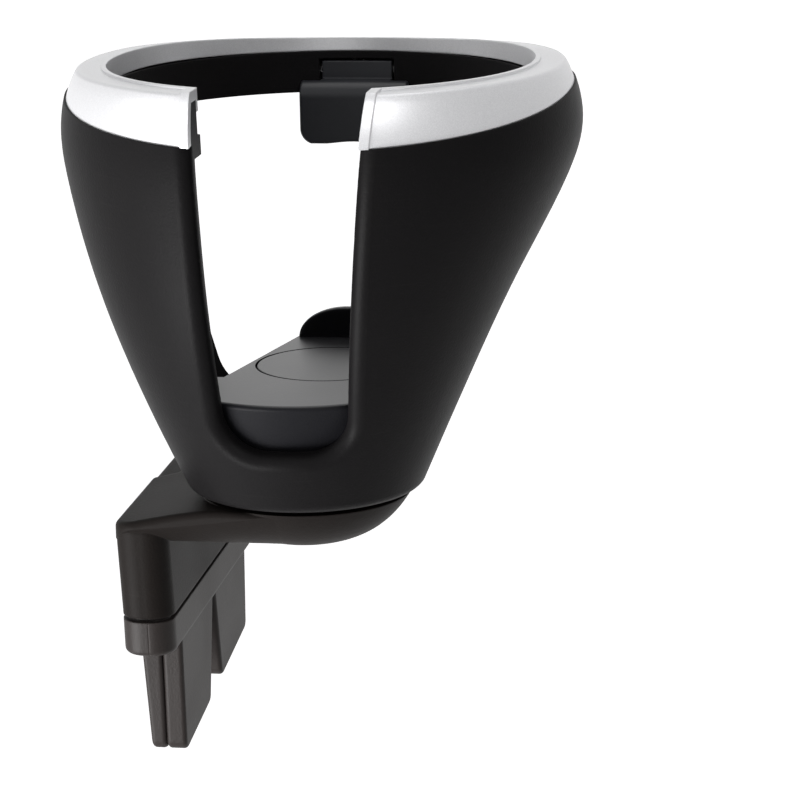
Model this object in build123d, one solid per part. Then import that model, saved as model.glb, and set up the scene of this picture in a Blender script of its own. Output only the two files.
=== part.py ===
"""Plug-in cup holder with a sprung press flap, in millimetres.

The origin is the middle of the round floor pad's top, where a cup stands. +Z is up,
-Y is the side of the handle slot and -X is the side of the arm and its insert.
"""
from build123d import *
import os
from math import cos, radians, sin

os.makedirs("parts", exist_ok=True)

# Cup body: round sections from the base ring up to the crown
BASE_Z = -24.5
BASE_R = 25.2
BASE_EDGE_R = 3.0
FLOOR_R = 35.9
WAIST_Z = 24.0
WAIST_INSET = 9.6
CHEST_Z = 42.0
CHEST_INSET = 2.4
CUP_Z = 54.0
CUP_R = 55.6
BROW_Z = 60.6
BROW_INSET = 1.0
CREST_Z = 64.4
CREST_INSET = 2.4
CROWN_Z = 68.0
CROWN_INSET = 6.0
CUP_STEPS = 16
BASE_SHIFT_X = -3.8
BASE_SHIFT_Y = -8.6
WAIST_SHARE = 0.7
CHEST_SHARE = 0.2
BODY_WALL = 2.6
SLOT_FRAME_WALL = 5.0
SLOT_FRAME_WIDTH = 8.6
SLOT_FRAME_REAR_Y = -12.0
BOTTOM_WALL = 2.4

# Handle slot at the front
SLOT_TOP_HALF_WIDTH = 17.7
SLOT_FOOT_HALF_WIDTH = 12.6
SLOT_FOOT_X = -3.0
SLOT_FOOT_Z = -10.4
SLOT_CORNER_R = 9.0
SLOT_REAR_Y = -20.0
SLOT_EDGE_R = 2.6

# Window at the back, between the wings
WINDOW_HALF_ANGLE = 55.0
WINDOW_FOOT_Z = -10.0
WINDOW_CORNER_R = 8.0

# Hollow rim and its silver trim
BAND_DEPTH = 10.6
BAND_INNER_R = CUP_R - BAND_DEPTH
BAND_FOOT_Z = 53.0
BAND_WALL = 2.4
RIM_WALL = 1.7
RIM_FRONT_Z = 66.2
RIM_SIDE_Z = 66.2
RIM_SIDE_Y = 24.0
RIM_REAR_Z = 63.5
TRIM_STEP = 0.6
TRIM_INNER_R = BAND_INNER_R + TRIM_STEP
TRIM_WALL = 1.8
TRIM_INSET = 0.45
TRIM_SKIRT_WALL = 1.5
TRIM_SKIRT_SIDE_Z = 61.9
TRIM_SKIRT_REAR_Z = 62.3
TRIM_FRONT_Z = 55.6
TRIM_FALL = 3.0
TRIM_CHEEK_Y = 26.0
TRIM_CHEEK_Z = 58.8
TRIM_SIDE_Z = 61.6
TRIM_REAR_Z = 62.0
TRIM_EDGE_R = 1.2
BEAD_WIDTH = 1.1
BEAD_HEIGHT = 0.45
RIB_WIDTH = 2.0
RIM_END_ANGLE = 30.0

# Floor tray and its round pad
TRAY_THICKNESS = 3.4
TRAY_GAP = 0.4
TRAY_FRONT_Y = -14.0
TRAY_LAP = 4.0
TRAY_EDGE_R = 0.8
TONGUE_FRONT_HALF_WIDTH = 21.2
TONGUE_REAR_HALF_WIDTH = 11.3
TONGUE_REAR_Y = 27.2
SKIRT_DEPTH = 14.0
SKIRT_WALL = 2.0
SKIRT_HALF_WIDTH = 26.0
STOP_HEIGHT = 7.0
STOP_THICKNESS = 2.2
STOP_EDGE_R = 0.7
PAD_R = 15.6
PAD_THICKNESS = 1.6
PAD_GROOVE = 0.4
PAD_CHAMFER = 0.2

# Screws, posts and bosses
SCREW_R = 1.4
SCREW_HEAD_R = 2.7
SCREW_HEAD_HEIGHT = 1.4
POST_R = 3.4
SCREWS_IN_RING = 3
TRAY_SCREW_TURN = 90.0
TRAY_SCREW_CIRCLE_R = 10.0
TRAY_SCREW_LENGTH = 9.0
BASE_SCREW_TURN = 90.0
BASE_SCREW_INSET = 15.7
BASE_SCREW_GRIP = 9.0
BASE_SCREW_SEAT = 3.0
SCREW_CLEARANCE = 0.3
BOSS_WALL = 1.4

# Press flap, its pin and its spring
FLAP_WIDTH = 24.6
FLAP_REACH = 7.0
FLAP_FRONT_Y = BAND_INNER_R - FLAP_REACH
FLAP_FOOT_Z = 42.0
FLAP_TOP_Z = 56.0
FLAP_THICKNESS = 2.4
FLAP_SHOULDER_R = 3.5
FLAP_CORNER_R = 3.5
FLAP_WAVE = 0.5
FLAP_EDGE_R = 0.6
TONGUE_WIDTH = 16.0
TONGUE_TOP_Z = 60.0
TONGUE_PROUD = 0.4
TONGUE_FACE_Y = BAND_INNER_R - TONGUE_PROUD
TONGUE_WALL = 0.6
TONGUE_SIDE_GAP = 0.6
TONGUE_TOP_GAP = 0.6
PIN_DEPTH = 3.4
PIN_Y = BAND_INNER_R + PIN_DEPTH
PIN_Z = 58.0
PIN_R = 1.0
PIN_RUN = 0.06
BARREL_R = 1.9
LUG_WIDTH = 2.8
LUG_R = 2.6
LUG_END_WALL = 0.4
LUG_GAP = 0.35
SPRING_WIRE_R = 0.35
SPRING_R = 1.65
SPRING_KNEE_R = 0.4
SPRING_PITCH = 0.85
SPRING_TURNS = 3
SPRING_BAY_WIDTH = 6.8
SPRING_LEG_ANGLE = 26.0
SPRING_LEG = 3.0
SPRING_TOE = 2.6
SPRING_GAP = 0.3

# Dish, arm and housing
SEAM = 1.0
SPIGOT_INSET = 2.2
DISH_STEP = 2.2
DISH_R = BASE_R - DISH_STEP
DISH_FOOT_Z = -36.4
DISH_WALL = 2.4
DISH_FLAT_R = 4.0
DISH_LEAN = 0.6
ARM_OUTER_X = -43.4
ARM_TOP_Z = -30.0
ARM_FRONT_INSET = 4.8
ARM_FRONT_Y = BASE_SHIFT_Y - DISH_R + ARM_FRONT_INSET
ARM_REAR_Y = 70.0
ARM_INSET = 0.2
ARM_FALL_X = 12.6
ARM_END_SLOPE = 0.15
ARM_RIDGE_R = 1.4
GUSSET_LAP = 4.0
GUSSET_FOOT_Z = -34.0
GUSSET_THICKNESS = 4.5
HOUSING_THICKNESS = 11.5
HOUSING_FOOT_Z = -52.0
HOUSING_STEP = 0.6
HOUSING_DRAFT = 3.6
HOUSING_END_R = 5.0
SOCKET_WALL = 2.4
SOCKET_DEPTH = 12.0
SOCKET_GAP = 0.1

# Two-pronged insert, in two halves
COLLAR_HEIGHT = 8.0
COLLAR_EDGE_R = 1.3
COLLAR_DRAFT = 0.6
NECK_INSET = 1.2
BLADE_INNER_X = -32.4
BLADE_LEDGE = 0.3
BLADE_SEAM_X = -37.0
BLADE_TAPER = 1.4
BLADE_FRONT_Y = -11.5
BLADE_REAR_Y = 58.5
BLADE_DRAFT_Y = 1.5
BLADE_FRONT_Z = -87.5
BLADE_REAR_Z = -80.0
BLADE_CORNER_R = 2.5
BLADE_EDGE_R = 1.0
FORK_Y = 22.5
FORK_TOP_WIDTH = 2.0
FORK_FOOT_WIDTH = 14.0
TENON_LENGTH = 66.0
TENON_INNER_WALL = 2.6
INSERT_SCREW_SPAN = 42.0
INSERT_SCREW_DROP = 6.0

BIG = 400.0
OVERRUN = 30.0


def block(x0, x1, y0, y1, z0, z1):
    """Box between two corners."""
    return Pos((x0 + x1) / 2, (y0 + y1) / 2, (z0 + z1) / 2) * Box(x1 - x0, y1 - y0, z1 - z0)


def between(low, high):
    """Wide slab between two heights, used to trim a form."""
    return block(-BIG, BIG, -BIG, BIG, low, high)


def rod(x, y, low, high, radius):
    """Upright cylinder between two heights."""
    return Pos(x, y, (low + high) / 2) * Cylinder(radius, high - low)


def rod_x(y, z, x0, x1, radius):
    """Cylinder along X between two places."""
    return Pos((x0 + x1) / 2, y, z) * Rot(0, 90, 0) * Cylinder(radius, x1 - x0)


def yz_sheet(outline, x0, x1):
    """Closed outline of (Y, Z) lines, carried along X."""
    face = make_face(outline)
    return Pos(x0, 0, 0) * extrude(Plane.YZ * face, x1 - x0)


def xz_sheet(outline, y0, y1):
    """Closed outline of (X, Z) lines, carried along Y."""
    face = make_face(outline)
    return Pos(0, y1, 0) * extrude(Plane.XZ * face, y1 - y0)


def cup_sections():
    """Points of (radius, share of the base's shift, height), evenly spaced on a smooth profile."""
    profile = Spline(
        (BASE_R, 1.0, BASE_Z),
        (FLOOR_R, 1.0, 0.0),
        (CUP_R - WAIST_INSET, WAIST_SHARE, WAIST_Z),
        (CUP_R - CHEST_INSET, CHEST_SHARE, CHEST_Z),
        (CUP_R, 0.0, CUP_Z),
        (CUP_R - BROW_INSET, 0.0, BROW_Z),
        (CUP_R - CREST_INSET, 0.0, CREST_Z),
        (CUP_R - CROWN_INSET, 0.0, CROWN_Z),
    )
    return [profile @ (step / CUP_STEPS) for step in range(CUP_STEPS + 1)]


def cup_form(inset):
    """Solid of the whole cup, drawn in by an even inset."""
    rings = []
    for point in cup_sections():
        centre = Pos(BASE_SHIFT_X * point.Y, BASE_SHIFT_Y * point.Y, point.Z)
        rings.append(centre * Circle(point.X - inset))
    return loft(rings)


def slot_outline(margin):
    """U outline of the handle slot, open above the rim, with a margin on each side."""
    high = RIM_FRONT_Z + OVERRUN
    spread = (SLOT_TOP_HALF_WIDTH - SLOT_FOOT_HALF_WIDTH) / (RIM_FRONT_Z - SLOT_FOOT_Z)
    drift = SLOT_FOOT_X / (RIM_FRONT_Z - SLOT_FOOT_Z)
    foot = SLOT_FOOT_HALF_WIDTH + margin
    top = SLOT_TOP_HALF_WIDTH + margin + spread * (high - RIM_FRONT_Z)
    top_x = -drift * (high - RIM_FRONT_Z)
    return Polygon(
        (SLOT_FOOT_X - foot, SLOT_FOOT_Z),
        (SLOT_FOOT_X + foot, SLOT_FOOT_Z),
        (top_x + top, high),
        (top_x - top, high),
        align=None,
    )


def handle_slot(margin=0):
    """Prism of the handle slot, with round lower corners."""
    outline = slot_outline(margin)
    low_corners = outline.vertices().sort_by(Axis.Y)[:2]
    outline = fillet(low_corners, SLOT_CORNER_R)
    return Pos(0, SLOT_REAR_Y, 0) * extrude(Plane.XZ * outline, BIG / 2)


def rear_window():
    """Wedge that opens the back between the wings, with round corners in the wall."""
    reach = BIG / 2
    half = reach * sin(radians(WINDOW_HALF_ANGLE))
    ahead = reach * cos(radians(WINDOW_HALF_ANGLE))
    wedge = extrude(Polygon((0, 0), (half, ahead), (-half, ahead), align=None), BAND_FOOT_Z - WINDOW_FOOT_Z)
    wedge = Pos(BASE_SHIFT_X / 2, BASE_SHIFT_Y / 2, WINDOW_FOOT_Z) * wedge
    flanks = wedge.faces().filter_by(Axis.Z, reverse=True).sort_by(Axis.Y)[:2]
    corners = []
    for flank in flanks:
        corners += flank.edges().filter_by(Axis.Z, reverse=True)
    return fillet(corners, WINDOW_CORNER_R)


def below_rim(drop):
    """Everything that lies below the rim's top, which sinks at the back, by a drop."""
    front = RIM_FRONT_Z - drop
    side = RIM_SIDE_Z - drop
    rear = RIM_REAR_Z - drop
    top = Spline((-CUP_R - OVERRUN, front), (-CUP_R, front), (0, side), (RIM_SIDE_Y, side), (CUP_R, rear))
    edge = top + Polyline((CUP_R, rear), (CUP_R + OVERRUN, rear), (CUP_R + OVERRUN, -BIG / 4))
    edge += Polyline((CUP_R + OVERRUN, -BIG / 4), (-CUP_R - OVERRUN, -BIG / 4), (-CUP_R - OVERRUN, front))
    return yz_sheet(edge, -BIG / 2, BIG / 2)


def above_band_foot():
    """Everything above the band's foot."""
    return between(BAND_FOOT_Z, BIG)


def above_trim_edge():
    """Everything above the trim's lower edge, which rises from the slot to the sides."""
    edge = Spline(
        (-BIG / 4, TRIM_FRONT_Z - TRIM_FALL),
        (-CUP_R, TRIM_FRONT_Z),
        (-TRIM_CHEEK_Y, TRIM_CHEEK_Z),
        (0, TRIM_SIDE_Z),
        (CUP_R, TRIM_REAR_Z),
        (BIG / 4, TRIM_REAR_Z),
    )
    lid = Polyline(
        (BIG / 4, TRIM_REAR_Z),
        (BIG / 4, BIG),
        (-BIG / 4, BIG),
        (-BIG / 4, TRIM_FRONT_Z - TRIM_FALL),
    )
    return yz_sheet(edge + lid, -BIG / 2, BIG / 2)


def above_skirt_edge():
    """Everything above the lower edge of the trim's inner skirt."""
    slope = (TRIM_SKIRT_REAR_Z - TRIM_SKIRT_SIDE_Z) / BAND_INNER_R
    outline = Polyline(
        (-BIG / 4, TRIM_SKIRT_SIDE_Z),
        (0, TRIM_SKIRT_SIDE_Z),
        (BIG / 4, TRIM_SKIRT_SIDE_Z + slope * BIG / 4),
        (BIG / 4, BIG),
        (-BIG / 4, BIG),
        (-BIG / 4, TRIM_SKIRT_SIDE_Z),
    )
    return yz_sheet(outline, -BIG / 2, BIG / 2)


def rim_core():
    """Form that fills the trim from below: the rim of the body as the trim meets it."""
    core = cup_form(TRIM_INSET + TRIM_WALL) & above_band_foot() & below_rim(TRIM_WALL)
    skirt_r = TRIM_INNER_R + TRIM_SKIRT_WALL
    return core - rod(0, 0, BAND_FOOT_Z, BIG, skirt_r)


def make_rim_trim():
    """Silver cap of the rim: top, outer cheek and inner skirt, open at the slot."""
    cap = cup_form(TRIM_INSET) & above_band_foot() & below_rim(0)
    crown = cap.faces().sort_by(Axis.Z)[-1]
    cap = fillet(crown.edges(), TRIM_EDGE_R)
    cap = cap & above_trim_edge()
    cap -= rod(0, 0, 0, BIG, TRIM_INNER_R)
    cap -= rim_core()
    inside = rod(0, 0, 0, BIG, TRIM_INNER_R + TRIM_SKIRT_WALL) - above_skirt_edge()
    cap -= inside
    bead = rod(0, 0, BAND_FOOT_Z, BIG, TRIM_INNER_R + BEAD_WIDTH) - rod(0, 0, 0, BIG, TRIM_INNER_R)
    cap += bead & (below_rim(-BEAD_HEIGHT) - below_rim(BEAD_HEIGHT))
    ribs = cup_form(0) & above_band_foot() & below_rim(-BEAD_HEIGHT) & above_trim_edge()
    ribs -= rod(0, 0, 0, BIG, TRIM_INNER_R)
    ribs -= rim_core()
    ribs -= inside
    ribs = ribs & handle_slot(RIB_WIDTH)
    return cap + ribs - handle_slot()


def rim_channel():
    """Hollow of the rim, closed at both ends beside the slot."""
    ring = cup_form(TRIM_INSET + TRIM_WALL + RIM_WALL)
    ring = ring & between(BAND_FOOT_Z + BAND_WALL, BIG) & below_rim(TRIM_WALL)
    ring -= rod(0, 0, 0, BIG, BAND_INNER_R + BAND_WALL)
    reach = BIG / 2
    half = reach * sin(radians(RIM_END_ANGLE))
    ahead = reach * cos(radians(RIM_END_ANGLE))
    ends = extrude(Polygon((0, 0), (-half, -ahead), (half, -ahead), align=None), BIG)
    return ring - ends


def flap_passage():
    """Notch in the rear band that the flap's tongue swings in."""
    half = TONGUE_WIDTH / 2 + TONGUE_SIDE_GAP
    rear = PIN_Y + BARREL_R
    low = FLAP_TOP_Z - FLAP_THICKNESS - OVERRUN
    return block(-half, half, FLAP_FRONT_Y, rear, low, TONGUE_TOP_Z + TONGUE_TOP_GAP)


def screw_turns(first):
    """Angles of a ring of screws, evenly spaced from the first one."""
    return [radians(first + 360 * step / SCREWS_IN_RING) for step in range(SCREWS_IN_RING)]


def tray_screw_places():
    """Places of the tray's screws, on a circle round the pad's middle."""
    turns = screw_turns(TRAY_SCREW_TURN)
    return [(TRAY_SCREW_CIRCLE_R * cos(turn), TRAY_SCREW_CIRCLE_R * sin(turn)) for turn in turns]


def base_screw_places():
    """Places of the base's screws, on a circle round the dish's middle."""
    turns = screw_turns(BASE_SCREW_TURN)
    circle_r = BASE_R - BASE_SCREW_INSET
    return [(BASE_SHIFT_X + circle_r * cos(turn), BASE_SHIFT_Y + circle_r * sin(turn)) for turn in turns]


def lug_inner_x():
    """Distance of each hinge lug's inner face from the middle."""
    return TONGUE_WIDTH / 2 + TONGUE_SIDE_GAP + LUG_GAP


def pin_end():
    """Half length of the hinge pin, which stops short of the lugs' outer faces."""
    return lug_inner_x() + LUG_WIDTH - LUG_END_WALL


def make_cup_body():
    """Moulded shell: wings, front wall, rear band with its hinge lugs, bottom and posts."""
    slot = handle_slot()
    form = cup_form(0)
    form = fillet(form.edges().group_by(Axis.Z)[0], BASE_EDGE_R)
    uncut = (form & below_rim(TRIM_WALL)) - above_trim_edge()
    rim_low = uncut - slot
    lips = new_edges(uncut, slot, combined=rim_low)
    lips = [edge for edge in lips if edge.center().Y < SLOT_REAR_Y - SLOT_EDGE_R]
    lips = [edge for edge in lips if edge.center().Z < TRIM_FRONT_Z]
    rim_low = fillet(lips, SLOT_EDGE_R)
    rim_high = (rim_core() & above_trim_edge()) - slot
    body = rim_low + rim_high

    frame_half = SLOT_TOP_HALF_WIDTH + SLOT_FRAME_WIDTH
    front = block(-frame_half, frame_half, -BIG, SLOT_FRAME_REAR_Y, -BIG, BIG)
    well = cup_form(BODY_WALL) & between(BASE_Z + BOTTOM_WALL, BAND_FOOT_Z)
    well = well - front
    well += cup_form(SLOT_FRAME_WALL) & between(BASE_Z + BOTTOM_WALL, BAND_FOOT_Z)
    body -= well
    body -= rod(0, 0, BAND_FOOT_Z - BAND_WALL, BIG, BAND_INNER_R)
    ledge = rod(0, 0, 0, BIG, TRIM_INNER_R + TRIM_SKIRT_WALL) & above_skirt_edge()
    body -= ledge
    body -= rim_channel()

    body -= rear_window()

    lug_in = lug_inner_x()
    lugs = Part()
    for side in (-1, 1):
        low_x, high_x = sorted((side * lug_in, side * (lug_in + LUG_WIDTH)))
        lugs += block(low_x, high_x, PIN_Y - LUG_R, BIG / 4, BAND_FOOT_Z + BAND_WALL / 2, PIN_Z + LUG_R)
    lugs = lugs & cup_form(TRIM_INSET + TRIM_WALL)
    body += lugs
    body -= flap_passage()
    body -= rod_x(PIN_Y, PIN_Z, -pin_end(), pin_end(), PIN_R)

    for x, y in tray_screw_places():
        body += rod(x, y, BASE_Z + BOTTOM_WALL / 2, -TRAY_THICKNESS, POST_R)
        body -= rod(x, y, -TRAY_THICKNESS - TRAY_SCREW_LENGTH, 0, SCREW_R)
    for x, y in base_screw_places():
        body += rod(x, y, BASE_Z + BOTTOM_WALL / 2, BASE_Z + BASE_SCREW_GRIP + BOTTOM_WALL, POST_R)
        body -= rod(x, y, BASE_Z - BOTTOM_WALL, BASE_Z + BASE_SCREW_GRIP, SCREW_R)
    return body


def tray_cone(inset):
    """Front of the tray inside the slot's frame, narrowing downwards."""
    low = cup_form(SLOT_FRAME_WALL + TRAY_GAP + inset)
    return low & between(-SKIRT_DEPTH, 0)


def make_floor_tray():
    """Floor plate with front skirt, tapered rear tongue and upturned rear stop."""
    bowl = tray_cone(0)
    front = block(-BIG, BIG, -BIG, TRAY_FRONT_Y, -BIG, BIG)
    tongue = Polygon(
        (-TONGUE_FRONT_HALF_WIDTH, TRAY_FRONT_Y - TRAY_LAP),
        (TONGUE_FRONT_HALF_WIDTH, TRAY_FRONT_Y - TRAY_LAP),
        (TONGUE_REAR_HALF_WIDTH, TONGUE_REAR_Y),
        (-TONGUE_REAR_HALF_WIDTH, TONGUE_REAR_Y),
        align=None,
    )
    plate = bowl & front & between(-TRAY_THICKNESS, 0)
    plate += Pos(0, 0, -TRAY_THICKNESS) * extrude(tongue, TRAY_THICKNESS)
    skirt = (bowl - tray_cone(SKIRT_WALL)) & front
    skirt = skirt & block(-SKIRT_HALF_WIDTH + SLOT_FOOT_X, SKIRT_HALF_WIDTH + SLOT_FOOT_X, -BIG, 0, -BIG, BIG)
    tray = plate + skirt

    half = TONGUE_REAR_HALF_WIDTH
    arch = Line((-half, -TRAY_THICKNESS), (half, -TRAY_THICKNESS))
    arch += Line((half, -TRAY_THICKNESS), (half, 0))
    arch += EllipticalCenterArc((0, 0), half, STOP_HEIGHT, start_angle=0, arc_size=180)
    arch += Line((-half, 0), (-half, -TRAY_THICKNESS))
    tray += xz_sheet(arch, TONGUE_REAR_Y - STOP_THICKNESS, TONGUE_REAR_Y)
    crest = [edge for edge in tray.edges() if edge.center().Z > STOP_HEIGHT / 3]
    tray = fillet(crest, STOP_EDGE_R)
    lip = [edge for edge in tray.edges() if abs(edge.center().Z) < STOP_EDGE_R]
    lip = [edge for edge in lip if edge.center().Y < TRAY_FRONT_Y - TRAY_LAP]
    tray = fillet(lip, TRAY_EDGE_R)

    tray -= rod(0, 0, -PAD_THICKNESS, STOP_HEIGHT, PAD_R + PAD_GROOVE)
    for x, y in tray_screw_places():
        tray -= rod(x, y, -TRAY_THICKNESS - SKIRT_DEPTH, 0, SCREW_R)
        tray -= screw_head(x, y, -PAD_THICKNESS)
    return tray


def screw_head(x, y, top):
    """Countersunk head with its flat face up."""
    cone = Cone(SCREW_R, SCREW_HEAD_R, SCREW_HEAD_HEIGHT)
    return Pos(x, y, top - SCREW_HEAD_HEIGHT / 2) * cone


def make_floor_pad():
    """Round pad that lies in the floor and hides the tray's screws."""
    pad = rod(0, 0, -PAD_THICKNESS, 0, PAD_R)
    return chamfer(pad.edges().group_by(Axis.Z)[-1], PAD_CHAMFER)


def make_tray_screws():
    """Countersunk screws from the pad's recess into the body's posts."""
    screws = []
    for x, y in tray_screw_places():
        shank = rod(x, y, -TRAY_THICKNESS - TRAY_SCREW_LENGTH, -PAD_THICKNESS - SCREW_HEAD_HEIGHT, SCREW_R)
        screws.append(shank + screw_head(x, y, -PAD_THICKNESS))
    return Compound(children=screws)


def make_base_screws():
    """Pan-head screws from under the dish into the body's bosses."""
    screws = []
    seat = BASE_Z - BASE_SCREW_SEAT
    for x, y in base_screw_places():
        shank = rod(x, y, seat, BASE_Z + BASE_SCREW_GRIP, SCREW_R)
        head = rod(x, y, seat - SCREW_HEAD_HEIGHT, seat, SCREW_HEAD_R)
        screws.append(shank + head)
    return Compound(children=screws)


def make_press_flap():
    """Wide pad with a rolled shoulder, on a tongue that ends in the hinge's barrels."""
    back_y = FLAP_FRONT_Y + FLAP_THICKNESS
    roll_y = FLAP_FRONT_Y + FLAP_SHOULDER_R
    roll_z = FLAP_TOP_Z - FLAP_SHOULDER_R
    inner_r = FLAP_SHOULDER_R - FLAP_THICKNESS
    pad = Line((FLAP_FRONT_Y, FLAP_FOOT_Z), (FLAP_FRONT_Y, roll_z))
    pad += CenterArc((roll_y, roll_z), FLAP_SHOULDER_R, 90, 90)
    pad += Line((roll_y, FLAP_TOP_Z), (roll_y, FLAP_TOP_Z - FLAP_THICKNESS))
    pad += CenterArc((roll_y, roll_z), inner_r, 90, 90)
    pad += Line((back_y, roll_z), (back_y, FLAP_FOOT_Z))
    pad += Line((back_y, FLAP_FOOT_Z), (FLAP_FRONT_Y, FLAP_FOOT_Z))
    half = FLAP_WIDTH / 2
    pad = yz_sheet(pad, -half, half)

    foot = Spline(
        (-half, FLAP_FOOT_Z),
        (-half / 2, FLAP_FOOT_Z),
        (0, FLAP_FOOT_Z + FLAP_WAVE),
        (half / 2, FLAP_FOOT_Z),
        (half, FLAP_FOOT_Z),
    )
    frame = foot + Polyline((half, FLAP_FOOT_Z), (half, FLAP_TOP_Z), (-half, FLAP_TOP_Z), (-half, FLAP_FOOT_Z))
    shield = xz_sheet(frame, FLAP_FRONT_Y - OVERRUN, roll_y + OVERRUN)
    uprights = shield.edges().filter_by(Axis.Y)
    shield = fillet(uprights.group_by(Axis.Z)[0], FLAP_CORNER_R)
    pad = pad & shield
    rims = [edge for edge in pad.edges() if abs(edge.center().Y - FLAP_FRONT_Y) < FLAP_EDGE_R]
    pad = fillet([edge for edge in rims if edge.center().Z < roll_z - FLAP_EDGE_R], FLAP_EDGE_R)

    under = FLAP_TOP_Z - FLAP_THICKNESS
    tongue = Polyline(
        (roll_y, FLAP_TOP_Z),
        (TONGUE_FACE_Y, FLAP_TOP_Z),
        (TONGUE_FACE_Y, TONGUE_TOP_Z),
        (PIN_Y, TONGUE_TOP_Z),
        (PIN_Y, PIN_Z - BARREL_R),
        (PIN_Y - BARREL_R, PIN_Z - BARREL_R),
        (TONGUE_FACE_Y, under),
        (roll_y, under),
        (roll_y, FLAP_TOP_Z),
    )
    wide = TONGUE_WIDTH / 2
    arm = yz_sheet(tongue, -wide, wide)
    arm += rod_x(PIN_Y, PIN_Z, -wide, wide, BARREL_R)
    bay = SPRING_BAY_WIDTH / 2
    arm -= block(-bay, bay, PIN_Y - BARREL_R - SPRING_WIRE_R, BIG, 0, BIG)
    roof = PIN_Z - SPRING_R + SPRING_WIRE_R + SPRING_GAP
    arm -= block(-bay, bay, TONGUE_FACE_Y + TONGUE_WALL, BIG, 0, roof)
    arm -= rod_x(PIN_Y, PIN_Z, -BIG, BIG, PIN_R + PIN_RUN)
    return pad + arm


def make_flap_pin():
    """Steel pin held in the two lugs of the rear band."""
    return rod_x(PIN_Y, PIN_Z, -pin_end(), pin_end(), PIN_R)


def wire_leg(start, direction, length):
    """Straight end of the spring's wire, with a round knee where it leaves the coil."""
    leg = Cylinder(SPRING_WIRE_R, length, align=(Align.CENTER, Align.CENTER, Align.MIN))
    return Plane(origin=start, z_dir=direction) * leg + Pos(start) * Sphere(SPRING_KNEE_R)


def make_flap_spring():
    """Wire torsion spring: one leg on the rear band, one under the flap's tongue."""
    start = radians(SPRING_LEG_ANGLE)
    length = SPRING_PITCH * (SPRING_TURNS + (SPRING_LEG_ANGLE + 90) / 360)
    axis = Plane(origin=(-length / 2, PIN_Y, PIN_Z), x_dir=(0, cos(start), sin(start)), z_dir=(1, 0, 0))
    path = axis * Helix(SPRING_PITCH, length, SPRING_R, lefthand=True)
    section = Plane(origin=path @ 0, z_dir=path % 0) * Circle(SPRING_WIRE_R)
    spring = sweep(section, path=path, is_frenet=True)
    spring += wire_leg(path @ 0, (0, -sin(start), cos(start)), SPRING_LEG)
    spring += wire_leg(path @ 1, (0, -1, 0), SPRING_TOE)
    return spring


def dish_edge(inset):
    """Curve of the dish from its flat foot up to its rim, drawn in by a wall."""
    top = BASE_Z - SEAM
    foot = DISH_FOOT_Z + inset
    return Spline((DISH_FLAT_R, foot), (DISH_R - inset, top), tangents=((1, 0), (DISH_LEAN, 1)))


def dish_profile(inset):
    """Half section of the round dish."""
    top = BASE_Z - SEAM
    foot = DISH_FOOT_Z + inset
    edge = dish_edge(inset)
    edge += Polyline((DISH_R - inset, top), (0, top), (0, foot), (DISH_FLAT_R, foot))
    return Plane.XZ * make_face(edge)


def arm_trough():
    """The dish's own section, a little inside it, carried on to the housing's outer face."""
    top = BASE_Z - SEAM
    foot = DISH_FOOT_Z + ARM_INSET
    side = DISH_R - ARM_INSET
    half = dish_edge(ARM_INSET)
    section = half + mirror(half, Plane.YZ)
    section += Line((-side, top), (side, top))
    section += Line((-DISH_FLAT_R, foot), (DISH_FLAT_R, foot))
    trough = yz_sheet(section, ARM_OUTER_X, BASE_SHIFT_X)
    return Pos(0, BASE_SHIFT_Y, 0) * trough


def arm_plan():
    """Outline of the arm from above, with its front corner round."""
    outline = Polygon(
        (ARM_OUTER_X, ARM_FRONT_Y),
        (BASE_SHIFT_X, BASE_SHIFT_Y - DISH_R),
        (BASE_SHIFT_X, BASE_SHIFT_Y + DISH_R),
        (ARM_OUTER_X, BASE_SHIFT_Y + DISH_R),
        align=None,
    )
    corner = outline.vertices().group_by(Axis.X)[0].sort_by(Axis.Y)[0]
    return fillet(corner, HOUSING_THICKNESS / 2)


def arm_gusset():
    """Flat web behind the dish that stiffens the rear of the housing."""
    inner_x = ARM_OUTER_X + HOUSING_THICKNESS / 2
    outline = Polygon(
        (inner_x, BASE_SHIFT_Y),
        (BASE_SHIFT_X, BASE_SHIFT_Y + DISH_R - GUSSET_LAP),
        (inner_x, ARM_REAR_Y - HOUSING_THICKNESS),
        align=None,
    )
    return Pos(0, 0, GUSSET_FOOT_Z) * extrude(outline, GUSSET_THICKNESS)


def above_arm():
    """Space above the arm's top, which falls in an S from the dish to the outer face."""
    inner_x = BASE_SHIFT_X - ARM_FALL_X
    outer_x = ARM_OUTER_X - ARM_INSET
    top = Spline((inner_x, BASE_Z - SEAM), (outer_x, ARM_TOP_Z), tangents=((-1, 0), (-1, -ARM_END_SLOPE)))
    top += Polyline((outer_x, ARM_TOP_Z), (outer_x, 0), (inner_x, 0), (inner_x, BASE_Z - SEAM))
    return xz_sheet(top, -BIG / 2, BIG / 2)


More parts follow.
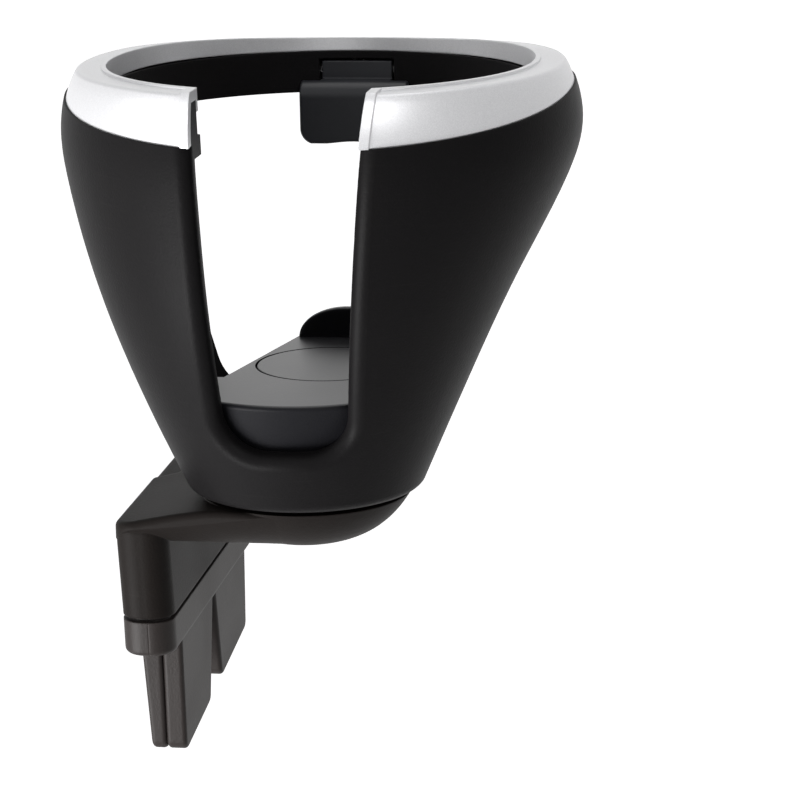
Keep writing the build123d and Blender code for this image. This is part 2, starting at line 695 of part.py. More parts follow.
def make_base_arm():
    """Dish, arm and upright housing in one moulding, with the insert's socket."""
    middle = Pos(BASE_SHIFT_X, BASE_SHIFT_Y, 0)
    dish = middle * revolve(dish_profile(0), Axis.Z)
    plan = Pos(0, 0, DISH_FOOT_Z) * extrude(arm_plan(), BIG)
    arm = (arm_trough() & plan) - above_arm()
    slopes = [face for face in arm.faces() if face.center().X < BASE_SHIFT_X - ARM_FALL_X]
    slope = sorted(slopes, key=lambda face: face.normal_at().Z)[-1]
    ridge = [edge for edge in slope.edges() if edge.center().X < BASE_SHIFT_X - ARM_FALL_X - ARM_RIDGE_R]
    arm = fillet([edge for edge in ridge if edge.center().Y < BASE_SHIFT_Y + DISH_R / 2], ARM_RIDGE_R)
    housing = loft([
        Pos(*housing_middle(), ARM_TOP_Z - HOUSING_STEP) * housing_plan(0),
        Pos(*housing_middle(), HOUSING_FOOT_Z) * housing_plan(HOUSING_DRAFT),
    ])
    housing = fillet(housing.edges().group_by(Axis.Z)[-1], ARM_RIDGE_R)
    base = dish + arm + housing + arm_gusset()

    spigot_r = DISH_R - SPIGOT_INSET
    boss_r = SCREW_HEAD_R + SCREW_CLEARANCE + BOSS_WALL
    low = BASE_Z - SEAM - BOSS_WALL
    hollow = middle * revolve(dish_profile(DISH_WALL), Axis.Z)
    crown = middle * (rod(0, 0, low, BASE_Z, spigot_r) - rod(0, 0, -BIG, BIG, spigot_r - DISH_WALL))
    for x, y in base_screw_places():
        hollow -= rod(x, y, -BIG, BIG, boss_r)
        crown += rod(x, y, low, BASE_Z, boss_r)
    base = base - hollow + crown
    seat = BASE_Z - BASE_SCREW_SEAT
    for x, y in base_screw_places():
        base -= rod(x, y, -BIG, BIG, SCREW_R + SCREW_CLEARANCE)
        base -= rod(x, y, -BIG, seat, SCREW_HEAD_R + SCREW_CLEARANCE)
    base -= tenon(SOCKET_GAP, ARM_OUTER_X + SOCKET_WALL, ARM_OUTER_X + HOUSING_THICKNESS - TENON_INNER_WALL)
    for y in insert_screw_places():
        base -= insert_screw(y)
    return base


def housing_middle():
    """Middle of the housing's plan."""
    return (ARM_OUTER_X + HOUSING_THICKNESS / 2, (ARM_FRONT_Y + ARM_REAR_Y) / 2)


def housing_plan(draft):
    """Plan of the housing with round ends, shorter by a draft at each end."""
    length = ARM_REAR_Y - ARM_FRONT_Y - 2 * draft
    return RectangleRounded(HOUSING_THICKNESS, length, HOUSING_END_R)


def tenon(gap, x0, x1):
    """Block that plugs the insert into the housing's socket."""
    half = TENON_LENGTH / 2 + gap
    top = HOUSING_FOOT_Z + SOCKET_DEPTH + gap
    return block(x0, x1, FORK_Y - half, FORK_Y + half, HOUSING_FOOT_Z - SEAM, top)


def insert_screw_places():
    """Places along Y of the insert's screws."""
    return [FORK_Y - INSERT_SCREW_SPAN / 2, FORK_Y + INSERT_SCREW_SPAN / 2]


def insert_screw(y):
    """Countersunk screw along X from the housing's outer face."""
    z = HOUSING_FOOT_Z + INSERT_SCREW_DROP
    end = ARM_OUTER_X + HOUSING_THICKNESS - TENON_INNER_WALL - SOCKET_GAP
    shank = rod_x(y, z, ARM_OUTER_X, end, SCREW_R)
    cone = Cone(SCREW_HEAD_R, SCREW_R, SCREW_HEAD_HEIGHT)
    head = Pos(ARM_OUTER_X + SCREW_HEAD_HEIGHT / 2, y, z) * Rot(0, 90, 0) * cone
    return shank + head


def make_insert():
    """Whole insert: tenon, neck, collar and two tapered prongs."""
    top = HOUSING_FOOT_Z - SEAM
    foot = top - COLLAR_HEIGHT
    collar = loft([
        Pos(*housing_middle(), foot) * housing_plan(HOUSING_DRAFT + COLLAR_DRAFT),
        Pos(*housing_middle(), top) * housing_plan(HOUSING_DRAFT),
    ])
    collar = fillet(collar.edges().group_by(Axis.Z)[0], COLLAR_EDGE_R)
    outer_x = ARM_OUTER_X + COLLAR_EDGE_R + BLADE_LEDGE
    neck_plan = offset(housing_plan(HOUSING_DRAFT), -NECK_INSET)
    neck = Pos(*housing_middle(), top) * extrude(neck_plan, SEAM)

    blade = Polygon(
        (BLADE_FRONT_Y, top - SEAM),
        (BLADE_FRONT_Y + BLADE_DRAFT_Y, BLADE_FRONT_Z),
        (BLADE_REAR_Y - BLADE_DRAFT_Y, BLADE_REAR_Z),
        (BLADE_REAR_Y, top - SEAM),
        align=None,
    )
    flare = (FORK_FOOT_WIDTH - FORK_TOP_WIDTH) / (foot - BLADE_FRONT_Z)
    wide = FORK_TOP_WIDTH + flare * 2 * (foot - BLADE_FRONT_Z)
    fork = Polygon(
        (FORK_Y - FORK_TOP_WIDTH / 2, foot),
        (FORK_Y - wide / 2, foot - 2 * (foot - BLADE_FRONT_Z)),
        (FORK_Y + wide / 2, foot - 2 * (foot - BLADE_FRONT_Z)),
        (FORK_Y + FORK_TOP_WIDTH / 2, foot),
        align=None,
    )
    prongs = Pos(outer_x, 0, 0) * extrude(Plane.YZ * (blade - fork), BLADE_INNER_X - outer_x)
    tips = [edge for edge in prongs.edges().filter_by(Axis.X) if edge.center().Z < foot - BLADE_CORNER_R]
    prongs = fillet(tips, BLADE_CORNER_R)
    lean = Polygon(
        (outer_x, foot),
        (outer_x - OVERRUN, foot),
        (outer_x - OVERRUN, foot - 2 * (foot - BLADE_FRONT_Z)),
        (outer_x + BLADE_TAPER * 2, foot - 2 * (foot - BLADE_FRONT_Z)),
        align=None,
    )
    prongs -= Pos(0, BIG / 2, 0) * extrude(Plane.XZ * lean, BIG)
    plug = tenon(
        0,
        ARM_OUTER_X + SOCKET_WALL + SOCKET_GAP,
        ARM_OUTER_X + HOUSING_THICKNESS - TENON_INNER_WALL - SOCKET_GAP,
    )
    insert = collar + neck + prongs + plug
    for y in insert_screw_places():
        insert -= insert_screw(y)
    return insert


def round_prong_ends(half):
    """Rounds the long lower edges of a half's prongs."""
    low = BLADE_REAR_Z + BLADE_CORNER_R
    ends = [edge for edge in half.edges() if edge.center().Z < low]
    ends = [edge for edge in ends if edge.bounding_box().size.Y > 2 * BLADE_CORNER_R]
    return fillet(ends, BLADE_EDGE_R)


def make_insert_outer(insert):
    """Half of the insert on the side away from the cup."""
    return round_prong_ends(insert & block(-BIG, BLADE_SEAM_X, -BIG, BIG, -BIG, BIG))


def make_insert_inner(insert):
    """Half of the insert on the cup's side."""
    return round_prong_ends(insert & block(BLADE_SEAM_X, BIG, -BIG, BIG, -BIG, BIG))


def make_insert_screws():
    """Countersunk screws through the housing and both halves."""
    return Compound(children=[insert_screw(y) for y in insert_screw_places()])


insert = make_insert()
export_step(make_cup_body(), "parts/cup_body.step")
export_step(make_rim_trim(), "parts/rim_trim.step")
export_step(make_floor_tray(), "parts/floor_tray.step")
export_step(make_floor_pad(), "parts/floor_pad.step")
export_step(make_tray_screws(), "parts/tray_screws.step")
export_step(make_base_screws(), "parts/base_screws.step")
export_step(make_press_flap(), "parts/press_flap.step")
export_step(make_flap_pin(), "parts/flap_pin.step")
export_step(make_flap_spring(), "parts/flap_spring.step")
export_step(make_base_arm(), "parts/base_arm.step")
export_step(make_insert_outer(insert), "parts/insert_outer.step")
export_step(make_insert_inner(insert), "parts/insert_inner.step")
export_step(make_insert_screws(), "parts/insert_screws.step")
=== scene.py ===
# %% [markdown]
# A plug-in car cup holder
# The solids of this holder come ready made, as a fixed frame in metres. This file gives them
# their finishes, the camera, the light and a pale stage. The origin is the middle of the round
# pad that a cup stands on, +Z is up, -Y is the side of the handle slot and -X is the side of
# the arm that plugs into a seat gap.

import math

import bpy
import numpy as np
from mathutils import Matrix, Vector


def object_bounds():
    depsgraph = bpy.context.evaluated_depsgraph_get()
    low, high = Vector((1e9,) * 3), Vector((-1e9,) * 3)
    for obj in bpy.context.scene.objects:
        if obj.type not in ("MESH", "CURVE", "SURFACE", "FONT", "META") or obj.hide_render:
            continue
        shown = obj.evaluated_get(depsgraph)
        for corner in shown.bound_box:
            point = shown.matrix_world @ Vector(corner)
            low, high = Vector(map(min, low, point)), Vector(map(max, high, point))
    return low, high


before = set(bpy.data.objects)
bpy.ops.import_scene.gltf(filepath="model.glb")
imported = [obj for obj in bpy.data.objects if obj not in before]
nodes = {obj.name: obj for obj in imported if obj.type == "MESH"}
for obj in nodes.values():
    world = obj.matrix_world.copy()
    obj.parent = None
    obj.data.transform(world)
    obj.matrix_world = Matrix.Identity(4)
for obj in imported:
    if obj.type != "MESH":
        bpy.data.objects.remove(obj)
cad_low, cad_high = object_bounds()
MM = 0.001
print("solids:", len(nodes), "box in mm:", [round(1000 * v, 1) for v in (*cad_low, *cad_high)])

# %% [markdown]
# The camera
# A picture of a small object taken from about 66 cm away has a long lens: near and far parts
# differ little in scale. The place and the aim below were worked out from the ellipses of the
# rim and of the round pad. A small roll lifts the right end of the rim, as it was held.

# %% Camera
CAMERA_PLACE = Vector((117.2, -636.4, 154.4)) * MM
CAMERA_AZIMUTH = math.radians(9.07)
CAMERA_PITCH = math.radians(14.13)
CAMERA_ROLL = math.radians(-1.08)
FOCAL_PIXELS = 3053
PICTURE_PIXELS = 800
SENSOR_WIDTH = 36.0
CLIP_NEAR = 0.01
CLIP_FAR = 20


def aim_of(azimuth, pitch):
    """Direction of sight: level along the azimuth, then tipped down by the pitch."""
    level = math.cos(pitch)
    return Vector((-math.sin(azimuth) * level, math.cos(azimuth) * level, -math.sin(pitch)))


camera_data = bpy.data.cameras.new("photo_camera")
camera_data.sensor_width = SENSOR_WIDTH
camera_data.lens = FOCAL_PIXELS / PICTURE_PIXELS * SENSOR_WIDTH
camera_data.clip_start = CLIP_NEAR
camera_data.clip_end = CLIP_FAR
camera = bpy.data.objects.new("photo_camera", camera_data)
bpy.context.scene.collection.objects.link(camera)
aim = aim_of(CAMERA_AZIMUTH, CAMERA_PITCH)
turned = aim.to_track_quat("-Z", "Y").to_matrix() @ Matrix.Rotation(CAMERA_ROLL, 3, "Z")
camera.matrix_world = Matrix.Translation(CAMERA_PLACE) @ turned.to_4x4()
bpy.context.scene.camera = camera
print("lens:", round(camera_data.lens, 1), "mm")

# %% [markdown]
# Stage
# The holder hangs from its blade, so nothing carries it in the picture. A pale sheet that bends
# from floor to wall lies well below and behind it, so the view from behind stands in front of
# the wall too. One profile line carried along X makes the sheet.

# %% Stage
FLOOR_Z = cad_low.z - 800 * MM
WALL_Y = cad_high.y + 2400 * MM
BEND_R = 900 * MM
BEND_POINTS = 24
STAGE_HALF = 4.0
STAGE_FRONT_Y = -14.0
PAPER_WHITE = (0.94, 0.94, 0.94, 1)
PAPER_LIFT = 0.85
PAPER_ROUGHNESS = 0.9
WHITE = (1, 1, 1, 1)


def backdrop_points():
    """Floor line, a quarter circle and a wall line, carried along X."""
    turn = np.linspace(0, math.pi / 2, BEND_POINTS)
    y = WALL_Y - BEND_R + BEND_R * np.sin(turn)
    z = FLOOR_Z + BEND_R - BEND_R * np.cos(turn)
    y = np.concatenate(([STAGE_FRONT_Y], y, [WALL_Y]))
    z = np.concatenate(([FLOOR_Z], z, [STAGE_HALF]))
    x = np.array([-STAGE_HALF, STAGE_HALF])
    return np.stack(np.broadcast_arrays(x[None, :], y[:, None], z[:, None]), axis=-1)


def grid_mesh(name, grid):
    """Mesh of quads over a grid of points, smooth."""
    rows, columns = grid.shape[:2]
    index = np.arange(rows * columns).reshape(rows, columns)
    quads = np.stack((index[:-1, :-1], index[:-1, 1:], index[1:, 1:], index[1:, :-1]), axis=-1)
    mesh = bpy.data.meshes.new(name)
    mesh.from_pydata(grid.reshape(-1, 3).tolist(), [], quads.reshape(-1, 4).tolist())
    mesh.polygons.foreach_set("use_smooth", np.ones(len(mesh.polygons), bool))
    return mesh


def strength_by_ray(tree, hidden, seen):
    """One strength for rays that see or mirror a surface, and another for its light."""
    rays = tree.nodes.new("ShaderNodeLightPath")
    mask = rays.outputs["Is Camera Ray"]
    for kind in ("Is Glossy Ray", "Is Transmission Ray"):
        either = tree.nodes.new("ShaderNodeMath")
        either.operation = "MAXIMUM"
        tree.links.new(mask, either.inputs[0])
        tree.links.new(rays.outputs[kind], either.inputs[1])
        mask = either.outputs[0]
    strength = tree.nodes.new("ShaderNodeMapRange")
    strength.inputs["To Min"].default_value = hidden
    strength.inputs["To Max"].default_value = seen
    tree.links.new(mask, strength.inputs["Value"])
    return strength.outputs["Result"]


def paper_material():
    """White paper. It takes the object's shade, and seen or mirrored it is lifted to white."""
    material = bpy.data.materials.new("stage_paper")
    material.use_nodes = True
    tree = material.node_tree
    shader = tree.nodes["Principled BSDF"]
    shader.inputs["Base Color"].default_value = PAPER_WHITE
    shader.inputs["Roughness"].default_value = PAPER_ROUGHNESS
    shader.inputs["Emission Color"].default_value = WHITE
    tree.links.new(strength_by_ray(tree, 0, PAPER_LIFT), shader.inputs["Emission Strength"])
    return material


backdrop = bpy.data.objects.new("backdrop", grid_mesh("backdrop", backdrop_points()))
bpy.context.scene.collection.objects.link(backdrop)
backdrop.data.materials.append(paper_material())
print("backdrop faces:", len(backdrop.data.polygons))

# %% [markdown]
# Light
# Two soft lamps on the left, one high and one low, give the left wing and the lower front their
# grey, and leave the right wing dark. A high lamp on the right reaches only the silver trim and
# the flap, because the wings lean under and face down. A sheet overhead evens out the top.

# %% Lamps
WORLD_STRENGTH = 0.15
WORLD_SEEN = 1.0
world = bpy.data.worlds.new("studio")
bpy.context.scene.world = world
world.use_nodes = True
sky = world.node_tree.nodes["Background"].inputs
sky["Color"].default_value = WHITE
world.node_tree.links.new(strength_by_ray(world.node_tree, WORLD_STRENGTH, WORLD_SEEN), sky["Strength"])


def soft_lamp(name, place, target, width, height, watts):
    """Area lamp at a place in millimetres that faces a target."""
    data = bpy.data.lights.new(name, "AREA")
    data.shape = "RECTANGLE"
    data.size = width * MM
    data.size_y = height * MM
    data.energy = watts
    lamp = bpy.data.objects.new(name, data)
    lamp.location = Vector(place) * MM
    lamp.rotation_euler = (Vector(target) - Vector(place)).to_track_quat("-Z", "Y").to_euler()
    bpy.context.scene.collection.objects.link(lamp)
    return lamp


lamps = [
    soft_lamp("key_left", (-760, -420, 300), (0, 0, 20), 600, 600, 2.1),
    soft_lamp("low_left", (-420, -440, -300), (-10, -20, -10), 500, 260, 9),
    soft_lamp("trim_high", (340, -620, 520), (20, -20, 60), 300, 300, 2.0),
    soft_lamp("top_sheet", (0, 100, 900), (0, 0, 0), 700, 700, 2),
]
bpy.context.scene.view_settings.view_transform = "Standard"
print("lamps:", [lamp.name for lamp in lamps])

# %% [markdown]
# Soft edges
# No moulded edge is sharp: even a plain corner has a radius of some tenths of a millimetre, and
# that small round catches a line of light. The solids have their large rounds already. For the
# small ones, a group of shader nodes bends the normal near each edge, and puts out a mask of
# the places that it bent, which is also where hands rub a finish first. The plastics lighten
# their colour on that mask, partly as wear and partly as a painted highlight along the edges.

# %% Node helpers and the soft edge group
EDGE_SAMPLES = 6
EDGE_GAIN = 4.0


def add_node(tree, kind, **settings):
    """New shader node with its settings."""
    node = tree.nodes.new(kind)
    for key, value in settings.items():
        setattr(node, key, value)
    return node


def new_group(name, inputs, outputs):
    """Empty shader node group with named sockets: a list of (name, type, default)."""
    group = bpy.data.node_groups.new(name, "ShaderNodeTree")
    for label, kind, default in inputs:
        socket = group.interface.new_socket(label, in_out="INPUT", socket_type=kind)
        socket.default_value = default
    for label, kind in outputs:
        group.interface.new_socket(label, in_out="OUTPUT", socket_type=kind)
    return group, add_node(group, "NodeGroupInput"), add_node(group, "NodeGroupOutput")


def math_node(tree, operation, *values, clamp=False):
    """Math node whose inputs are links or plain numbers; gives its output."""
    node = add_node(tree, "ShaderNodeMath", operation=operation, use_clamp=clamp)
    for socket, value in zip(node.inputs, values):
        if isinstance(value, (int, float)):
            socket.default_value = value
        else:
            tree.links.new(value, socket)
    return node.outputs[0]


def soft_edge_group():
    """Normal rounded over a radius near edges, and a mask of where it differs."""
    group, source, sink = new_group(
        "soft_edges",
        [("Radius", "NodeSocketFloat", 0.0005)],
        [("Normal", "NodeSocketVector"), ("Edge", "NodeSocketFloat")],
    )
    bevel = add_node(group, "ShaderNodeBevel", samples=EDGE_SAMPLES)
    group.links.new(source.outputs["Radius"], bevel.inputs["Radius"])
    surface = add_node(group, "ShaderNodeNewGeometry")
    match = add_node(group, "ShaderNodeVectorMath", operation="DOT_PRODUCT")
    group.links.new(bevel.outputs["Normal"], match.inputs[0])
    group.links.new(surface.outputs["Normal"], match.inputs[1])
    away = math_node(group, "SUBTRACT", 1.0, match.outputs["Value"])
    edge = math_node(group, "MULTIPLY", away, EDGE_GAIN, clamp=True)
    group.links.new(bevel.outputs["Normal"], sink.inputs["Normal"])
    group.links.new(edge, sink.inputs["Edge"])
    return group


SOFT_EDGES = soft_edge_group()
print("group:", SOFT_EDGES.name)

# %% [markdown]
# Moulded grain and handling
# The black plastic is moulded in a tool that was etched, so its skin has a fine pebble of about
# half a millimetre. Two noises of different size give the pebble's height. A second group makes
# what hands leave: wide faint smudges that change how sharp the sheen is, and hairline rubs.

# %% Grain and smudge groups
FINE_PER_CELL = 1.7
CELL_SHARE = 0.7
FINE_SHARE = 0.5
RUB_TURN = (0.5, 0.3, 0.9)
RUB_STRETCH = (60, 60, 1800)
RUB_FROM = 0.66
RUB_FULL = 0.74


def moulded_grain_group():
    """Height of a fine pebble: smooth cells of one size with finer noise on top, from 0 to 1."""
    group, source, sink = new_group(
        "moulded_grain",
        [("Cell Size", "NodeSocketFloat", 0.0005)],
        [("Height", "NodeSocketFloat"), ("Speck", "NodeSocketFloat")],
    )
    place = add_node(group, "ShaderNodeTexCoord")
    per_metre = math_node(group, "DIVIDE", 1.0, source.outputs["Cell Size"])
    cells = add_node(group, "ShaderNodeTexVoronoi", feature="SMOOTH_F1")
    group.links.new(place.outputs["Object"], cells.inputs["Vector"])
    group.links.new(per_metre, cells.inputs["Scale"])
    fine = add_node(group, "ShaderNodeTexNoise")
    fine.inputs["Detail"].default_value = 3
    group.links.new(place.outputs["Object"], fine.inputs["Vector"])
    group.links.new(math_node(group, "MULTIPLY", per_metre, FINE_PER_CELL), fine.inputs["Scale"])
    low = math_node(group, "MULTIPLY", cells.outputs["Distance"], CELL_SHARE)
    height = math_node(group, "MULTIPLY_ADD", fine.outputs["Fac"], FINE_SHARE, low)
    group.links.new(height, sink.inputs["Height"])
    group.links.new(fine.outputs["Fac"], sink.inputs["Speck"])
    return group


def handling_group():
    """Smudge: wide soft patches. Rub: thin stretched noise lines that cross each other."""
    group, source, sink = new_group(
        "handling",
        [("Patch Size", "NodeSocketFloat", 0.03)],
        [("Smudge", "NodeSocketFloat"), ("Rub", "NodeSocketFloat")],
    )
    place = add_node(group, "ShaderNodeTexCoord")
    patches = add_node(group, "ShaderNodeTexNoise")
    patches.inputs["Detail"].default_value = 4
    patches.inputs["Distortion"].default_value = 0.6
    group.links.new(place.outputs["Object"], patches.inputs["Vector"])
    per_metre = math_node(group, "DIVIDE", 1.0, source.outputs["Patch Size"])
    group.links.new(per_metre, patches.inputs["Scale"])
    turn = add_node(group, "ShaderNodeMapping")
    turn.inputs["Rotation"].default_value = RUB_TURN
    turn.inputs["Scale"].default_value = RUB_STRETCH
    group.links.new(place.outputs["Object"], turn.inputs["Vector"])
    lines = add_node(group, "ShaderNodeTexNoise")
    lines.inputs["Scale"].default_value = 1.0
    lines.inputs["Detail"].default_value = 2
    group.links.new(turn.outputs["Vector"], lines.inputs["Vector"])
    thin = add_node(group, "ShaderNodeMapRange")
    thin.inputs["From Min"].default_value = RUB_FROM
    thin.inputs["From Max"].default_value = RUB_FULL
    group.links.new(lines.outputs["Fac"], thin.inputs["Value"])
    group.links.new(patches.outputs["Fac"], sink.inputs["Smudge"])
    group.links.new(thin.outputs["Result"], sink.inputs["Rub"])
    return group


MOULDED_GRAIN = moulded_grain_group()
HANDLING = handling_group()
print("groups:", MOULDED_GRAIN.name, HANDLING.name)

# %% [markdown]
# Plastics
# Every plastic here is the same recipe with its own numbers: a dark colour that the smudges
# lift a little and the edges lift more, partly as wear and partly as a painted highlight, a
# roughness that varies with both, and a bump from the pebble on top of the rounded edges.

# %% Plastic finishes
SMUDGE_SIZE = 30 * MM
SPECK_SHARE = 0.35
# Share of the edge mask in the colour: partly wear, partly a painted highlight.
EDGE_WEAR_AND_HIGHLIGHT = 0.5
RUB_WEAR = 0.15
SMUDGE_ROUGHNESS = 0.06
WEAR_SHINE = -0.12
GRAIN_DEPTH = 0.08 * MM


def use_group(tree, group, **values):
    """Places a node group in a material and sets its inputs."""
    node = add_node(tree, "ShaderNodeGroup", node_tree=group)
    for label, value in values.items():
        node.inputs[label.replace("_", " ")].default_value = value
    return node


def spread(tree, value, low, high):
    """Maps a mask of 0 to 1 on a range."""
    node = add_node(tree, "ShaderNodeMapRange")
    node.inputs["To Min"].default_value = low
    node.inputs["To Max"].default_value = high
    tree.links.new(value, node.inputs["Value"])
    return node.outputs["Result"]


def tint(tree, mask, first, second):
    """Colour between two, by a mask of 0 to 1."""
    node = add_node(tree, "ShaderNodeMix", data_type="RGBA")
    tree.links.new(mask, node.inputs["Factor"])
    for socket, value in ((node.inputs[6], first), (node.inputs[7], second)):
        if isinstance(value, tuple):
            socket.default_value = value
        else:
            tree.links.new(value, socket)
    return node.outputs[2]


def plastic(name, dark, pale, worn_and_edge_highlight, rough, sheen, cell, bump, edge):
    """Moulded plastic: dark to pale over the smudges, lighter on its edges as wear and as a painted
    highlight, with a pebbled skin.
    """
    material = bpy.data.materials.new(name)
    material.use_nodes = True
    tree = material.node_tree
    shader = tree.nodes["Principled BSDF"]
    shader.inputs["Specular IOR Level"].default_value = sheen
    edges = use_group(tree, SOFT_EDGES, Radius=edge)
    grain = use_group(tree, MOULDED_GRAIN, Cell_Size=cell)
    marks = use_group(tree, HANDLING, Patch_Size=SMUDGE_SIZE)
    body = tint(tree, marks.outputs["Smudge"], dark, pale)
    speck = tint(tree, spread(tree, grain.outputs["Speck"], 0.0, SPECK_SHARE), body, worn_and_edge_highlight)
    # The edge mask lifts the colour as wear and as a painted highlight along every edge.
    rubbed_and_lit_edges = math_node(tree, "MULTIPLY", edges.outputs["Edge"], EDGE_WEAR_AND_HIGHLIGHT)
    scuffs_and_edge_highlights = math_node(tree, "MULTIPLY_ADD", marks.outputs["Rub"], RUB_WEAR, rubbed_and_lit_edges)
    colour = tint(tree, scuffs_and_edge_highlights, speck, worn_and_edge_highlight)
    tree.links.new(colour, shader.inputs["Base Color"])
    dull = spread(tree, marks.outputs["Smudge"], rough - SMUDGE_ROUGHNESS, rough + SMUDGE_ROUGHNESS)
    glossed = math_node(tree, "MULTIPLY_ADD", scuffs_and_edge_highlights, WEAR_SHINE, dull)
    tree.links.new(glossed, shader.inputs["Roughness"])
    raised = add_node(tree, "ShaderNodeBump")
    raised.inputs["Strength"].default_value = bump
    raised.inputs["Distance"].default_value = GRAIN_DEPTH
    tree.links.new(grain.outputs["Height"], raised.inputs["Height"])
    tree.links.new(edges.outputs["Normal"], raised.inputs["Normal"])
    tree.links.new(raised.outputs["Normal"], shader.inputs["Normal"])
    return material


BODY_PLASTIC = plastic(
    "body_plastic",
    dark=(0.0038, 0.0036, 0.0042, 1),
    pale=(0.0068, 0.0063, 0.0066, 1),
    worn_and_edge_highlight=(0.015, 0.0141, 0.0141, 1),
    rough=0.46,
    sheen=0.04,
    cell=0.0005,
    bump=0.5,
    edge=0.0004,
)
FLOOR_PLASTIC = plastic(
    "floor_plastic",
    dark=(0.0050, 0.0050, 0.0062, 1),
    pale=(0.0085, 0.0085, 0.0102, 1),
    worn_and_edge_highlight=(0.020, 0.020, 0.0225, 1),
    rough=0.46,
    sheen=0.06,
    cell=0.0005,
    bump=0.4,
    edge=0.0004,
)
FLAP_PLASTIC = plastic(
    "flap_plastic",
    dark=(0.009, 0.0095, 0.0125, 1),
    pale=(0.013, 0.0135, 0.0165, 1),
    worn_and_edge_highlight=(0.026, 0.027, 0.030, 1),
    rough=0.38,
    sheen=0.3,
    cell=0.0004,
    bump=0.15,
    edge=0.0005,
)
# The arm's own warm dark brown, set darker still as painted shade: the cup's left wing shades its top.
ARM_SHADE_DARKENED_PLASTIC = plastic(
    "arm_plastic",
    dark=(0.0055, 0.0044, 0.0040, 1),
    pale=(0.0090, 0.0074, 0.0068, 1),
    worn_and_edge_highlight=(0.020, 0.0170, 0.0158, 1),
    rough=0.5,
    sheen=0.04,
    cell=0.0005,
    bump=0.5,
    edge=0.0005,
)
INSERT_PLASTIC = plastic(
    "insert_plastic",
    dark=(0.0115, 0.0090, 0.0084, 1),
    pale=(0.0180, 0.0145, 0.0136, 1),
    worn_and_edge_highlight=(0.034, 0.0285, 0.0268, 1),
    rough=0.52,
    sheen=0.15,
    cell=0.0005,
    bump=0.5,
    edge=0.0005,
)
PLASTICS = [BODY_PLASTIC, FLOOR_PLASTIC, FLAP_PLASTIC, ARM_SHADE_DARKENED_PLASTIC, INSERT_PLASTIC]
print("plastics:", [material.name for material in PLASTICS])

# %% [markdown]
# The floor's painted sheen
# A thin coat on the faces that look up is a painted sheen: it brightens the top of the floor
# and leaves the upright skirt below it matte and dark, as the shade of its recess would. The
# normal's Z is 1 on faces that look up and 0 on upright ones, so the mask follows the shape.

# %% Painted sheen on the floor
UPWARD_SHEEN = 0.95
UPWARD_SHEEN_ROUGHNESS = 0.42
LEANING_Z = 0.5
LEVEL_Z = 0.9


def paint_sheen_on_upward_faces(material):
    """Coat by the normal's Z as a painted sheen: none on upright faces, full where the face looks up.
    """
    tree = material.node_tree
    shader = tree.nodes["Principled BSDF"]
    shader.inputs["Coat Roughness"].default_value = UPWARD_SHEEN_ROUGHNESS
    surface = add_node(tree, "ShaderNodeNewGeometry")
    normal = add_node(tree, "ShaderNodeSeparateXYZ")
    tree.links.new(surface.outputs["Normal"], normal.inputs[0])
    # The coat weight is a painted sheen on the faces that look up.
    upward = add_node(tree, "ShaderNodeMapRange")
    upward.inputs["From Min"].default_value = LEANING_Z
    upward.inputs["From Max"].default_value = LEVEL_Z
    upward.inputs["To Max"].default_value = UPWARD_SHEEN
    tree.links.new(normal.outputs["Z"], upward.inputs["Value"])
    tree.links.new(upward.outputs["Result"], shader.inputs["Coat Weight"])


paint_sheen_on_upward_faces(FLOOR_PLASTIC)
print("polished:", FLOOR_PLASTIC.name)

# %% [markdown]
# Silver paint
# The trim is plastic with satin silver paint: tiny metal flakes in a clear binder. It mirrors the
# room in soft patches with no sharp image, so it is half metallic with a middling roughness,
# and a cell noise of a tenth of a millimetre gives the flakes.

# %% Silver finish
FLAKES_PER_METRE = 9000
FLAKE_DARK = (0.60, 0.60, 0.615, 1)
FLAKE_PALE = (0.71, 0.71, 0.725, 1)
FLAKE_DEPTH = 0.05 * MM
SILVER_SMUDGE_SIZE = 25 * MM
SILVER_EDGE = 0.4 * MM


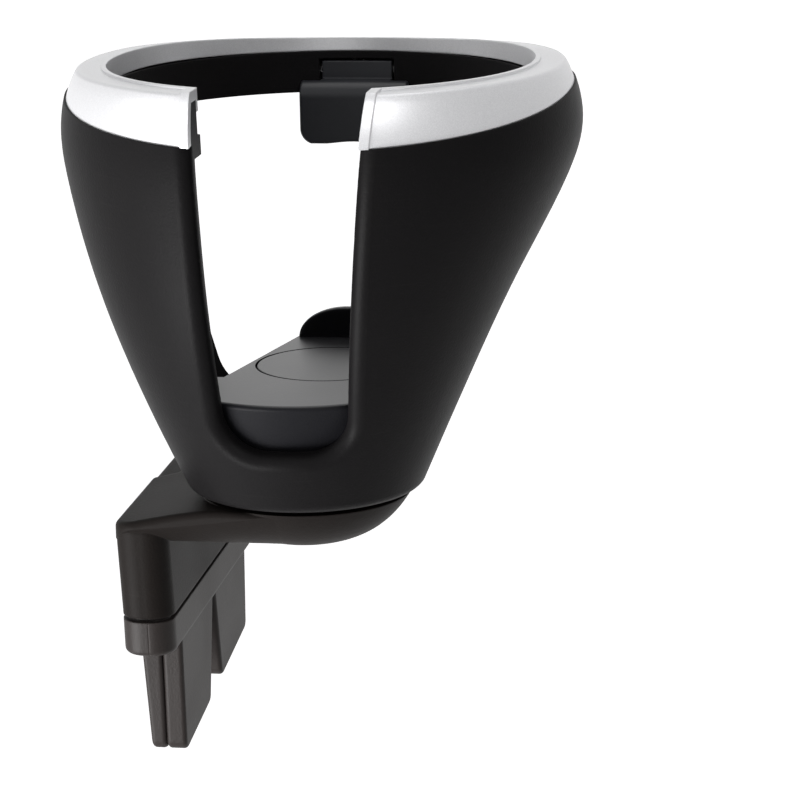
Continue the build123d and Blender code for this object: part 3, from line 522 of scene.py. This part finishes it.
def silver_paint():
    """Satin metallic paint with flakes that differ a little in brightness and in tilt; its sharpness
    changes over wide smudges.
    """
    material = bpy.data.materials.new("trim_silver")
    material.use_nodes = True
    tree = material.node_tree
    shader = tree.nodes["Principled BSDF"]
    shader.inputs["Metallic"].default_value = 0.5
    shader.inputs["Coat Weight"].default_value = 0.15
    shader.inputs["Coat Roughness"].default_value = 0.2
    place = add_node(tree, "ShaderNodeTexCoord")
    flakes = add_node(tree, "ShaderNodeTexVoronoi")
    flakes.inputs["Scale"].default_value = FLAKES_PER_METRE
    tree.links.new(place.outputs["Object"], flakes.inputs["Vector"])
    shine = add_node(tree, "ShaderNodeSeparateColor")
    tree.links.new(flakes.outputs["Color"], shine.inputs["Color"])
    edges = use_group(tree, SOFT_EDGES, Radius=SILVER_EDGE)
    marks = use_group(tree, HANDLING, Patch_Size=SILVER_SMUDGE_SIZE)
    paint = tint(tree, shine.outputs["Red"], FLAKE_DARK, FLAKE_PALE)
    tree.links.new(paint, shader.inputs["Base Color"])
    tree.links.new(spread(tree, marks.outputs["Smudge"], 0.30, 0.42), shader.inputs["Roughness"])
    raised = add_node(tree, "ShaderNodeBump")
    raised.inputs["Strength"].default_value = 0.05
    raised.inputs["Distance"].default_value = FLAKE_DEPTH
    tree.links.new(shine.outputs["Red"], raised.inputs["Height"])
    tree.links.new(edges.outputs["Normal"], raised.inputs["Normal"])
    tree.links.new(raised.outputs["Normal"], shader.inputs["Normal"])
    return material


TRIM_SILVER = silver_paint()
print("paint:", TRIM_SILVER.name)

# %% [markdown]
# Steel
# The pin, the spring and the screws are plain zinc-grey steel, drawn or turned, so faint lines
# run round them. Noise squeezed along X gives the lines.

# %% Steel finish
DRAWN_LINES = (9000, 300, 300)
STEEL_DARK = (0.42, 0.42, 0.43, 1)
STEEL_PALE = (0.62, 0.62, 0.62, 1)


def drawn_steel():
    """Bare steel with fine drawn lines."""
    material = bpy.data.materials.new("steel")
    material.use_nodes = True
    tree = material.node_tree
    shader = tree.nodes["Principled BSDF"]
    shader.inputs["Metallic"].default_value = 1.0
    place = add_node(tree, "ShaderNodeTexCoord")
    squeeze = add_node(tree, "ShaderNodeMapping")
    squeeze.inputs["Scale"].default_value = DRAWN_LINES
    tree.links.new(place.outputs["Object"], squeeze.inputs["Vector"])
    lines = add_node(tree, "ShaderNodeTexNoise")
    lines.inputs["Scale"].default_value = 1.0
    lines.inputs["Detail"].default_value = 2
    tree.links.new(squeeze.outputs["Vector"], lines.inputs["Vector"])
    tone = tint(tree, lines.outputs["Fac"], STEEL_DARK, STEEL_PALE)
    tree.links.new(tone, shader.inputs["Base Color"])
    tree.links.new(spread(tree, lines.outputs["Fac"], 0.24, 0.42), shader.inputs["Roughness"])
    return material


STEEL = drawn_steel()
FINISHES = {
    "cup_body": BODY_PLASTIC,
    "rim_trim": TRIM_SILVER,
    "floor_tray": FLOOR_PLASTIC,
    "floor_pad": FLOOR_PLASTIC,
    "press_flap": FLAP_PLASTIC,
    "base_arm": ARM_SHADE_DARKENED_PLASTIC,
    "insert_outer": INSERT_PLASTIC,
    "insert_inner": INSERT_PLASTIC,
    "tray_screws": STEEL,
    "base_screws": STEEL,
    "insert_screws": STEEL,
    "flap_pin": STEEL,
    "flap_spring": STEEL,
}
for name, finish in FINISHES.items():
    nodes[name].data.materials.clear()
    nodes[name].data.materials.append(finish)
print("finished nodes:", len(FINISHES))
